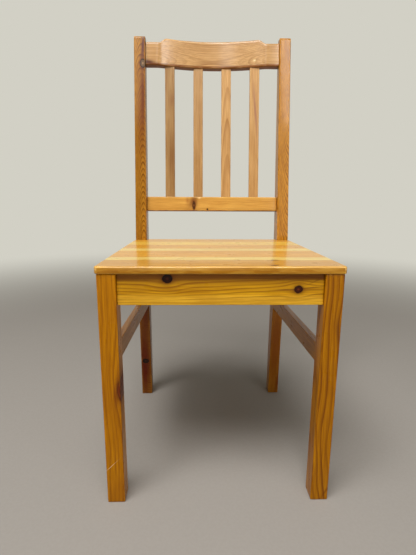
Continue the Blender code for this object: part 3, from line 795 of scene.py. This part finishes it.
def pine(name, look, origin, along, across, gloss=0.3, coat=0.24, haze=0.09):
    """Varnished pine: rings round a heart, knots, stains, fibres, worn edges and uneven gloss."""
    material, tree, shader = new_material(name)
    board = Board(tree, origin, along, across, look.seed)
    v = part_grain(board, look.knots)
    late = ring_shade(board, look, v)
    fine, broad = fibres(board)
    shade = (late * look.contrast).math("MINIMUM", 1.0)
    colour = mix(tree, shade, look.early, look.late)
    colour = paint_bands(board, look, colour, shade)
    tone = mix(tree, (fine * 0.65 + broad * 0.35).fade(0.3, 0.7), FIBRE_SHADE, WHITE)
    colour = mix(tree, 0.85, colour, tone, blend="MULTIPLY")
    cloud = board.noise((90, 28, 28), detail=2.0)
    colour = mix(tree, cloud.fade(0.35, 0.75) * 0.3, colour, look.late)
    colour = paint_streaks(board, look, colour, fine)
    colour, inside = paint_knots(board, look, colour)
    worn = worn_edges(board)
    colour = mix(tree, worn * 0.22, colour, tuple(min(c * 1.15 + 10, 255) for c in look.early))
    connect(tree, colour, shader.inputs["Base Color"])

    smudge = board.noise((26, 20, 20), detail=3.0)
    roughness = smudge * 0.16 + fine * 0.08 + worn * 0.15 + (gloss - 0.12)
    connect(tree, roughness, shader.inputs["Roughness"])
    orange_peel = board.noise((3.0, 3.0, 3.0), detail=1.0)
    height = orange_peel * 0.25 - fine * 0.25 - late * 0.35
    if inside is not None:
        height = height - inside * 0.4
    bump(tree, shader, height, SURFACE_DEPTH)
    varnish(shader, coat, haze)
    return material


def bare_wood(kind, node, tone, along, across, seed):
    """Unvarnished wood, for the hidden blocks and dowels."""
    look = Pine(*tone, spacing=2.4, pith=(-40, 22), lean=(0.01, 0.02), wander=6, contrast=0.7, seed=seed)
    material = pine(f"{kind}_{node}", look, middle(node), along, across, gloss=0.72)
    shader = material.node_tree.nodes["Principled BSDF"]
    shader.inputs["Coat Weight"].default_value = 0.0
    return material


def steel(name):
    """Zinc-plated steel, brushed and spotted."""
    material, tree, shader = new_material(name)
    board = Board(tree, Vector((0, 0, 0)), (1, 0, 0), (0, 1, 0), 50.0)
    spots = board.noise((1.6, 1.6, 1.6), detail=3.0)
    colour = mix(tree, spots.fade(0.35, 0.7), ZINC, DULL_ZINC)
    connect(tree, colour, shader.inputs["Base Color"])
    connect(tree, spots * 0.3 + 0.22, shader.inputs["Roughness"])
    bump(tree, shader, board.noise((0.4, 0.4, 6.0), detail=2.0), 0.00003)
    shader.inputs["Metallic"].default_value = 1.0
    return material


# --- Each board's own wood, and the shade and highlight painted on some ---

# The tones of varnished pine: the pale early wood, then the dark late wood of a ring
AMBER = ((205, 135, 0), (140, 75, 0))
OCHRE = ((200, 140, 40), (130, 80, 10))
MUSTARD = ((235, 175, 20), (160, 100, 5))
HONEY = ((210, 150, 55), (150, 90, 25))
TOFFEE = ((180, 120, 20), (125, 75, 10))
BISCUIT = ((215, 170, 110), (165, 115, 60))
CORN = ((230, 180, 90), (190, 130, 55))
SUN = ((240, 180, 65), (205, 140, 40))
STRAW = ((255, 215, 90), (230, 165, 60))
BEECH = ((222, 192, 150), (196, 158, 110))
BARE_PINE = ((222, 184, 124), (178, 128, 70))

# Its pale sapwood, and a painted highlight for the seat's front top edge
SAPWOOD = (255, 228, 128)
PAINTED_EDGE_HIGHLIGHT = (245, 200, 120)


def shaded(tone, factor):
    """The same tone, darker below a factor of 1 and lighter above it."""
    return tuple(tuple(min(255, round(part * factor)) for part in colour) for colour in tone)


LOOKS = {
    "leg_left": Pine(
        *AMBER, spacing=6.5, pith=(-70, 30), lean=(0.02, 0.02), wander=14,
        contrast=0.75, seed=11.0,
        knots=(Knot(228, 19, 44, 16, (120, 50, 14), 0.15, 0.55, 0.85, 2.6),),
        streaks=(Streak(228, 11, 26, 5, 0.10, (112, 44, 12), 0.75),
                 Streak(76, -7, 9, 0.45, 1.0, (236, 208, 160), 1.4),
                 Streak(250, 14.5, 60, 1.6, 0.0, (128, 66, 14), 0.6))),
    "leg_right": Pine(
        *shaded(AMBER, 0.95), spacing=9.0, pith=(-58, 12), lean=(-0.03, 0.01), wander=30,
        contrast=1.1, seed=23.0,
        streaks=(Streak(332, 12, 26, 4.5, -0.16, (112, 62, 18), 0.7),
                 Streak(20, 12, 18, 2.2, 0.5, (104, 48, 10), 0.6))),
    "post_left": Pine(
        *shaded(OCHRE, 0.95), spacing=0.8, pith=(9, -117), lean=(-0.004, 0.09), wander=5,
        contrast=1.35, seed=31.0,
        knots=(Knot(885, 8, 20, 13, (112, 84, 56), 1.0, 0.9, 0.8, 2.2),
               Knot(103, -1, 13, 17, (44, 20, 12), 0.9, 0.9, 0.8, 2.2)),
        streaks=(Streak(925, 8.5, 34, 4.0, 0.05, (84, 36, 28), 1.1),
                 Streak(800, 7, 80, 4.6, 0.0, (96, 42, 14), 1.1),
                 Streak(760, 2, 110, 9.0, 0.0, (120, 62, 20), 0.7),
                 Streak(90, -3, 140, 20.0, 0.0, (90, 16, 0), 1.0),
                 Streak(260, 4, 110, 16.0, 0.03, (92, 30, 4), 0.9))),
    "post_right": Pine(
        *shaded(OCHRE, 1.05), spacing=1.5, pith=(15, -24), lean=(0.0, 0.045), wander=9,
        contrast=1.1, seed=43.0,
        streaks=(Streak(915, 7, 34, 7.0, -0.17, (146, 96, 56), 0.6),
                 Streak(40, 12, 34, 5.0, 0.1, (104, 30, 4), 0.8),
                 Streak(150, 0, 170, 20.0, 0.0, (136, 56, 0), 0.7))),
    "apron_front": Pine(
        *MUSTARD, spacing=5.6, pith=(-92, -30), lean=(0.012, 0.02), wander=16,
        contrast=1.0, seed=5.0,
        knots=(Knot(-90, 18.5, 16, 14, DARK_KNOT, 0.95, 0.95, 0.9, 2.9),
               Knot(131, 0, 13, 12, (70, 26, 6), 0.8, 0.95, 0.9, 2.4)),
        streaks=(Streak(110, -0.5, 22, 1.0, 0.02, (104, 56, 16), 0.85),
                 Streak(155, 3.2, 18, 1.0, 0.07, (104, 56, 16), 0.85),
                 # Partly painted shade: a darker brown zone along the apron's top, under the seat, partly
                 # the wood's own colour and partly the seat's shadow
                 Streak(-60, 18, 150, 9.0, 0.0, (160, 100, 30), 0.5),
                 Streak(172, 20, 26, 1.2, 0.45, (128, 72, 18), 0.7)),
        bands=(Band(-40, -12, 5, (250, 194, 52)),
               # Painted shade: the seat's shadow on the apron's top, painted as a dark band
               Band(16, 40, 3, (130, 75, 0)))),
    "apron_rear": Pine(
        *HONEY, spacing=4.6, pith=(-60, 50), lean=(0.02, 0.03), wander=12,
        contrast=0.8, seed=61.0, knots=(Knot(62, 6, 15, 13, RED_KNOT, 0.5, 0.5, 0.8, 2.2),)),
    "apron_left": Pine(
        *HONEY, spacing=5.0, pith=(-64, 34), lean=(0.02, 0.02), wander=14,
        contrast=0.85, seed=67.0, knots=(Knot(40, -8, 14, 12, RED_KNOT, 0.6, 0.5, 0.8, 2.2),)),
    "apron_right": Pine(
        *HONEY, spacing=5.4, pith=(-70, -30), lean=(-0.02, 0.02), wander=16,
        contrast=0.85, seed=71.0, knots=(Knot(-70, 10, 13, 11, DARK_KNOT, 0.9, 0.5, 0.8, 2.2),)),
    "stretcher_left": Pine(
        *TOFFEE, spacing=3.4, pith=(-40, 24), lean=(0.02, 0.01), wander=8,
        contrast=0.7, seed=73.0),
    "stretcher_right": Pine(
        *TOFFEE, spacing=3.6, pith=(-44, 20), lean=(-0.02, 0.01), wander=8,
        contrast=0.7, seed=79.0),
    "crest": Pine(
        *shaded(BISCUIT, 0.96), spacing=3.5, pith=(-20, 36), lean=(0.0, 0.0), wander=6,
        contrast=0.62, seed=83.0,
        knots=(Knot(107, -17, 9, 7, (236, 196, 130), 0.0, 0.0, 0.6, 2.4),),
        streaks=(Streak(-163, -26, 18, 5.0, -0.1, (86, 38, 8), 1.2),),
        # Painted shade: the crest rail's bottom edge, which faces down away from the light, painted dark
        # brown
        bands=(Band(-60, -28.0, 0.8, (142, 88, 38)),)),
    "lower_rail": Pine(
        *CORN, spacing=2.6, pith=(-120, 60), lean=(0.01, 0.0), wander=10,
        contrast=0.6, seed=89.0,
        knots=(Knot(-47, -4, 8, 22, (92, 54, 26), 0.1, 0.7, 0.6, 1.8),
               Knot(-12, -14, 4, 4, DARK_KNOT, 0.8, 0.3, 0.4, 2.0)),
        # A darker line along the rail's bottom edge
        bands=(Band(-40, -16.4, 0.6, (150, 92, 24)),),
        streaks=(Streak(-51, 6, 11, 13.0, 0.9, (128, 76, 36), 0.8),
                 Streak(-42, 4, 4.5, 12.0, 0.0, (120, 70, 36), 0.6),
                 Streak(-33, 15, 3.5, 2.5, 0.0, (240, 204, 140), 0.8),
                 Streak(-64, 9, 4, 9.0, 0.0, (160, 100, 46), 0.6))),
    "slat_1": Pine(
        *shaded(BISCUIT, 0.82), spacing=2.4, pith=(-26, 18), lean=(0.03, 0.01), wander=8,
        contrast=0.75, seed=97.0,
        streaks=(Streak(660, 6, 50, 7.0, 0.0, (118, 74, 36), 0.6),
                 Streak(800, 6, 22, 7.0, 0.1, (128, 82, 40), 0.6))),
    "slat_2": Pine(
        *shaded(BISCUIT, 0.9), spacing=2.8, pith=(-50, 30), lean=(0.01, 0.01), wander=6,
        contrast=0.5, seed=101.0),
    "slat_3": Pine(
        *BISCUIT, spacing=2.2, pith=(1, 22), lean=(0.004, 0.022), wander=5,
        contrast=0.7, seed=103.0),
    "slat_4": Pine(
        *BISCUIT, spacing=3.4, pith=(46, 24), lean=(0.02, 0.01), wander=8,
        contrast=0.55, seed=107.0,
        streaks=(Streak(780, 2, 60, 3.0, -0.08, (146, 94, 74), 0.75),)),
    "seat_stave_1": Pine(
        *shaded(SUN, 0.92), spacing=4.6, pith=(-140, -50), lean=(0.02, 0.0), wander=14,
        contrast=0.5, seed=109.0,
        knots=(Knot(90, -37, 12, 7, (96, 56, 16), 0.7, 0.6, 0.7, 2.2),
               Knot(100, 15, 12, 7, (110, 70, 24), 0.7, 0.6, 0.7, 2.2)),
        bands=(Band(16, 60, 2.0, SAPWOOD),
               # Painted shade: the seat's front face painted a darker orange than its top
               Band(-70, -48.3, 0.1, (184, 122, 4)),
               # Painted highlight: a pale line along the seat's front top edge, where light glints on the
               # round-over
               Band(-48.3, -46.8, 0.2, PAINTED_EDGE_HIGHLIGHT, True))),
    "seat_stave_2": Pine(
        *SUN, spacing=4.8, pith=(-160, 60), lean=(-0.02, 0.0), wander=12,
        contrast=0.5, seed=113.0),
    "seat_stave_3": Pine(
        *SUN, spacing=5.0, pith=(150, -60), lean=(0.015, 0.0), wander=12,
        contrast=0.5, seed=127.0, bands=(Band(-60, -13, 2.5, SAPWOOD),)),
    "seat_stave_4": Pine(
        *STRAW, spacing=4.4, pith=(-150, 50), lean=(-0.01, 0.0), wander=12,
        contrast=0.45, seed=131.0),
    "seat_stave_5": Pine(
        *SUN, spacing=4.2, pith=(-120, 50), lean=(0.01, 0.0), wander=12,
        contrast=0.5, seed=137.0),
}


def middle(node):
    """The middle of a CAD node's box."""
    low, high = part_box(node)
    return (low + high) / 2


def keep(obj, node, slot, along, across, origin=None, **finish):
    """Finish a board: its wood, the CAD node that it stands for and the body that it rides on."""
    centre = middle(node) if origin is None else origin
    obj.data.materials.clear()
    obj.data.materials.append(pine(f"pine_{obj.name}", LOOKS[obj.name], centre, along, across, **finish))
    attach(obj, "root")
    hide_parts(node)
    return obj


def upright_origin(node):
    """The middle of an upright in plan, at floor height, so that u is the height above the floor."""
    centre = middle(node)
    return Vector((centre.x, centre.y, 0))


def make_boards():
    """Every visible board's mesh, by name."""
    boards = [*make_legs(), *make_posts()]
    boards.append(make_cross_apron("apron_front", "front_apron", 5.0))
    boards.append(make_cross_apron("apron_rear", "rear_apron", 6.0))
    for name, side in SIDES:
        boards.append(make_side_rail(f"apron_{name}", f"side_apron_{name}", side,
                                     SIDE_APRON_THICKNESS, 7.0))
        boards.append(make_side_rail(f"stretcher_{name}", f"side_stretcher_{name}", side,
                                     STRETCHER_THICKNESS, 8.0))
    boards += [make_crest(), make_lower_rail(), *make_slats()]
    boards += [make_stave(number) for number in range(1, STAVES + 1)]
    return {board.name: board for board in boards}


def cut_sockets(boards):
    """Cut each board for the tenons, dowels and screws that go into it."""
    def named(label, ends):
        return [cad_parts[f"{label}_{end}"] for end in ends]

    def dowels(label, numbers=(1, 2, 3, 4)):
        return named(f"{label}_dowel", numbers)
    for name, numbers in (("left", (1, 2)), ("right", (3, 4))):
        rails = boards[f"apron_{name}"], boards[f"stretcher_{name}"]
        carve(boards[f"leg_{name}"], *rails, *dowels("front_apron", numbers))
        carve(boards[f"post_{name}"], *rails, *dowels("rear_apron", numbers), *dowels("crest", numbers),
              *dowels("lower_rail", numbers))
    for name in ("front", "rear"):
        carve(boards[f"apron_{name}"], *dowels(f"{name}_apron"),
              *named(f"block_screw_{name}", ("left_1", "right_1")))
    slats = [boards[f"slat_{number}"] for number in range(1, SLATS + 1)]
    carve(boards["crest"], *slats, *dowels("crest"))
    carve(boards["lower_rail"], *slats, *dowels("lower_rail"))
    for name, _ in SIDES:
        carve(boards[f"apron_{name}"], *named("block_screw", (f"front_{name}_2", f"rear_{name}_2")))
    carve(boards["seat_stave_1"], *named("seat_screw_front", ("left", "right")))
    carve(boards[f"seat_stave_{STAVES}"], *named("seat_screw_rear", ("left", "right")))


def finish_boards(boards):
    """Give each board its wood, with its grain along its length, and its gloss."""
    x_axis, y_axis, z_axis = Vector((1, 0, 0)), Vector((0, 1, 0)), Vector((0, 0, 1))
    for name, _ in SIDES:
        leg, post = f"front_leg_{name}", f"rear_post_{name}"
        keep(boards[f"leg_{name}"], leg, "front_leg_varnish", z_axis, x_axis, upright_origin(leg), coat=0.12)
        keep(boards[f"post_{name}"], post, "rear_post_varnish", z_axis, x_axis, upright_origin(post))
        keep(boards[f"apron_{name}"], f"side_apron_{name}", "apron_varnish", y_axis, z_axis)
        keep(boards[f"stretcher_{name}"], f"side_stretcher_{name}", "stretcher_varnish", y_axis, z_axis)
    keep(boards["apron_front"], "front_apron", "apron_varnish", x_axis, z_axis, coat=0.12)
    keep(boards["apron_rear"], "rear_apron", "apron_varnish", x_axis, z_axis)
    leaned = Vector((0, math.sin(RAKE), math.cos(RAKE)))
    keep(boards["crest"], "crest_rail", "crest_varnish", x_axis, leaned, coat=0.5, haze=0.12)
    keep(boards["lower_rail"], "lower_back_rail", "rail_varnish", x_axis, leaned, coat=0.35)
    for number in range(1, SLATS + 1):
        node = f"back_slat_{number}"
        lean = slat_lean(node)[0]
        axis = Vector((0, math.sin(lean), math.cos(lean)))
        centre = middle(node)
        keep(boards[f"slat_{number}"], node, "slat_varnish", axis, x_axis, centre - axis * centre.z,
             coat=0.22, haze=0.2)
    for number in range(1, STAVES + 1):
        keep(boards[f"seat_stave_{number}"], f"seat_board_{number}", "seat_varnish", x_axis, y_axis,
             coat=0.42)


def finish_hidden():
    """Better materials for the CAD nodes that stay: blocks, dowels and screws."""
    x_axis, y_axis, z_axis = (1, 0, 0), (0, 1, 0), (0, 0, 1)
    zinc = steel("zinc_plate")
    for number, (name, obj) in enumerate(sorted(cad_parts.items())):
        if "screw" in name:
            material = zinc
        elif "dowel" in name:
            material = bare_wood("beech", name, BEECH, x_axis, z_axis, 200.0 + number)
        elif "corner_block" in name:
            material = bare_wood("bare", name, BARE_PINE, x_axis, y_axis, 300.0 + number)
        else:
            continue
        for slot in obj.material_slots:
            slot.material = material


# --- Studio ---

BACKDROP = (210, 208, 197)
FLOOR_NEAR = (158, 152, 145)
FLOOR_SPECKLE = (150, 144, 137)
FLOOR_FADE = 1100, 3200
FLOOR_RADIUS = 12.0
AMBIENT = 0.35
KEY_POWER = 118
FILL_POWER = 12
STRIP_POWER = 22
# Each strip light: its name, x, width and share of the strips' power
STRIPS = (("left_strip", -0.62, 0.34, 0.2), ("middle_strip", -0.08, 0.16, 0.14),
          ("right_strip", 0.80, 0.34, 0.8))


def make_floor():
    """A pale floor that fades into the backdrop's colour far from the chair."""
    bm = bmesh.new()
    bmesh.ops.create_circle(bm, cap_ends=True, radius=FLOOR_RADIUS, segments=96)
    mesh = bpy.data.meshes.new("floor")
    bm.to_mesh(mesh)
    bm.free()
    floor = bpy.data.objects.new("floor", mesh)
    bpy.context.scene.collection.objects.link(floor)
    material, tree, shader = new_material("pale_floor")
    board = Board(tree, Vector((0, 0, 0)), (1, 0, 0), (0, 1, 0), 400.0)
    speckle = board.noise((5, 5, 5), detail=2.0)
    colour = mix(tree, speckle.fade(0.3, 0.7) * 0.25, FLOOR_NEAR, FLOOR_SPECKLE)
    connect(tree, colour, shader.inputs["Base Color"])
    connect(tree, speckle * 0.2 + 0.75, shader.inputs["Roughness"])
    shader.inputs["Specular IOR Level"].default_value = 0.1
    far = (board.u * board.u + board.v * board.v).math("SQRT").fade(*FLOOR_FADE)
    glow = tree.nodes.new("ShaderNodeEmission")
    glow.inputs["Color"].default_value = srgb(BACKDROP)
    blend = tree.nodes.new("ShaderNodeMixShader")
    connect(tree, far, blend.inputs[0])
    tree.links.new(shader.outputs[0], blend.inputs[1])
    tree.links.new(glow.outputs[0], blend.inputs[2])
    tree.links.new(blend.outputs[0], tree.nodes["Material Output"].inputs["Surface"])
    mesh.materials.append(material)


def area_light(name, place, target, size, power):
    """A soft white light, width by height, that faces a point."""
    data = bpy.data.lights.new(name, "AREA")
    data.shape = "RECTANGLE"
    data.size, data.size_y = size
    data.energy = power
    light = bpy.data.objects.new(name, data)
    bpy.context.scene.collection.objects.link(light)
    light.location = place
    light.rotation_euler = (Vector(target) - Vector(place)).to_track_quat("-Z", "Y").to_euler()
    return light


def make_studio():
    """Soft light from above and in front, and a pale backdrop that is dimmer as a light than to the eye."""
    world = bpy.data.worlds.new("studio")
    bpy.context.scene.world = world
    world.use_nodes = True
    tree = world.node_tree
    background = tree.nodes["Background"]
    background.inputs["Color"].default_value = srgb(BACKDROP)
    path = tree.nodes.new("ShaderNodeLightPath")
    eye = Field(tree, path.outputs["Is Camera Ray"])
    gloss = Field(tree, path.outputs["Is Glossy Ray"])
    direction = tree.nodes.new("ShaderNodeSeparateXYZ")
    tree.links.new(tree.nodes.new("ShaderNodeTexCoord").outputs["Generated"], direction.inputs[0])
    behind = Field(tree, direction.outputs["Y"]).fade(-0.3, 0.7)
    mirrored = gloss * (behind * 0.85 + 0.10)
    ambient = (eye.math("MAXIMUM", gloss) * -1.0 + 1.0) * AMBIENT
    connect(tree, eye + mirrored + ambient, background.inputs["Strength"])
    area_light("key", (-0.6, -1.35, 3.2), (0, 0, 0.4), (2.0, 1.4), KEY_POWER)
    area_light("fill", (1.4, -2.3, 1.5), (0, 0, 0.5), (1.6, 1.4), FILL_POWER)
    for name, x, width, share in STRIPS:
        strip = area_light(name, (x, -1.85, 2.35), (0, 0.2, 0.9), (width, 1.1), STRIP_POWER * share)
        strip.visible_diffuse = False
    bpy.context.scene.view_settings.view_transform = "Standard"


def make_camera():
    """The camera in front of the chair, above the seat, looking slightly down."""
    data = bpy.data.cameras.new("camera")
    data.lens = CAMERA_LENS
    data.shift_x, data.shift_y = CAMERA_SHIFT
    camera = bpy.data.objects.new("camera", data)
    bpy.context.scene.collection.objects.link(camera)
    place = Matrix.Translation((CAMERA_SIDEWAYS, FRONT_Y - CAMERA_IN_FRONT, CAMERA_HEIGHT))
    turn = Matrix.Rotation(-CAMERA_YAW, 4, "Z") @ Matrix.Rotation(math.pi / 2 - CAMERA_PITCH, 4, "X")
    camera.matrix_world = place @ turn @ Matrix.Rotation(CAMERA_ROLL, 4, "Z")
    bpy.context.scene.camera = camera


make_camera()
chair = make_boards()
cut_sockets(chair)
finish_boards(chair)
finish_hidden()
make_floor()
make_studio()
